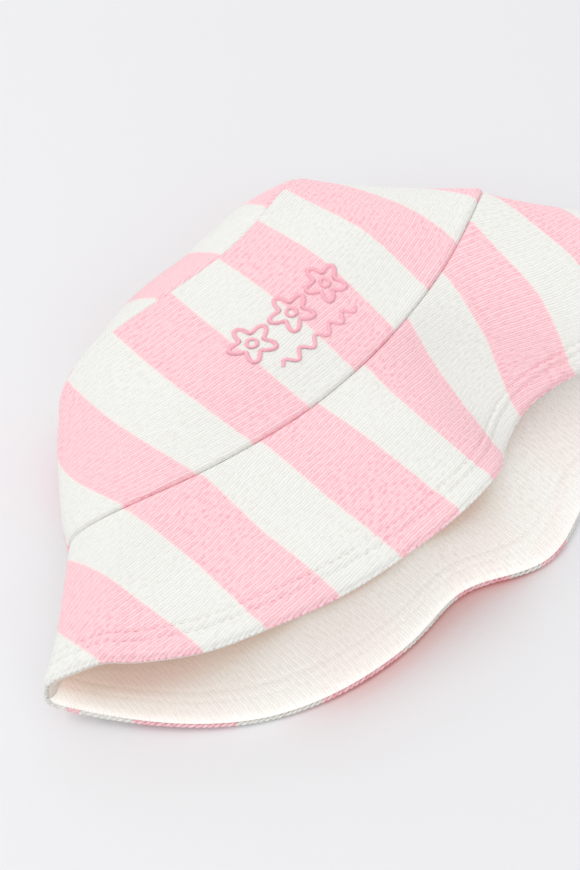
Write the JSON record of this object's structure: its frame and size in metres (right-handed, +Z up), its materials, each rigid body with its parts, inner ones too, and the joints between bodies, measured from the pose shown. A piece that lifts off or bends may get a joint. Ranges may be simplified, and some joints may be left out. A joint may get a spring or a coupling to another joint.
{
  "type": "bucket hat",
  "caption": "Child's soft knitted bucket hat with wide pink and white stripes, lying on its back; conical lined crown, two-layer brim that turns up at the front.",
  "frame": {"origin": "on the table under the middle of the hat's footprint, as it lies on its back", "axes": "+Z up from the table, through the front of the hat; +Y from the head opening to the crown tip; +X across the hat"},
  "size_m": [0.3188, 0.1873, 0.0553],
  "materials": {
    "striped_knit": "thick soft knit with wide pink and white stripes, matt",
    "cream_knit": "plain cream knit facing, matt",
    "lining_cotton": "fine plain cotton lining, matt",
    "sweatband_tape": "ribbed woven tape, matt",
    "interlining": "non-woven brim stiffener, matt",
    "hem_thread": "matt sewing thread",
    "embroidery_thread": "satin embroidery thread, slight sheen",
    "label_satin": "woven satin label, blank"
  },
  "bodies": {
    "hat_body": {"tip_panel": "striped_knit", "side_panel_front": "striped_knit", "side_panel_back": "striped_knit", "tip_lining": "lining_cotton", "side_lining_front": "lining_cotton", "side_lining_back": "lining_cotton", "sweatband": "sweatband_tape", "brim_top_back": "striped_knit", "brim_interlining_back": "interlining", "brim_facing_back": "cream_knit", "hem_stitch_inner_back": "hem_thread", "hem_stitch_outer_back": "hem_thread", "embroidery_flower_left": "embroidery_thread", "embroidery_flower_middle": "embroidery_thread", "embroidery_flower_right": "embroidery_thread", "embroidery_vine": "embroidery_thread", "embroidery_centre_left": "embroidery_thread", "embroidery_centre_middle": "embroidery_thread", "embroidery_centre_right": "embroidery_thread"},
    "front_brim": {"brim_top_front": "striped_knit", "brim_interlining_front": "interlining", "brim_facing_front": "cream_knit", "hem_stitch_inner_front": "hem_thread", "hem_stitch_outer_front": "hem_thread"},
    "care_label_body": {"care_label": "label_satin"},
    "size_label_body": {"size_label": "label_satin"}
  },
  "joints": [
    {"name": "front_brim_turn_up", "type": "hinge", "parent": "hat_body", "child": "front_brim", "pos_m": [0, 0.0402, 0.032], "axis": [-1, 0, 0], "range_deg": [0, 35]},
    {"name": "care_label_flip", "type": "hinge", "parent": "hat_body", "child": "care_label_body", "pos_m": [-0.009, 0.01439, 0.0039], "axis": [1, 0, 0], "range_deg": [0, 75]},
    {"name": "size_label_flip", "type": "hinge", "parent": "hat_body", "child": "size_label_body", "pos_m": [0.014, 0.01439, 0.0039], "axis": [1, 0, 0], "range_deg": [0, 75]}
  ]
}
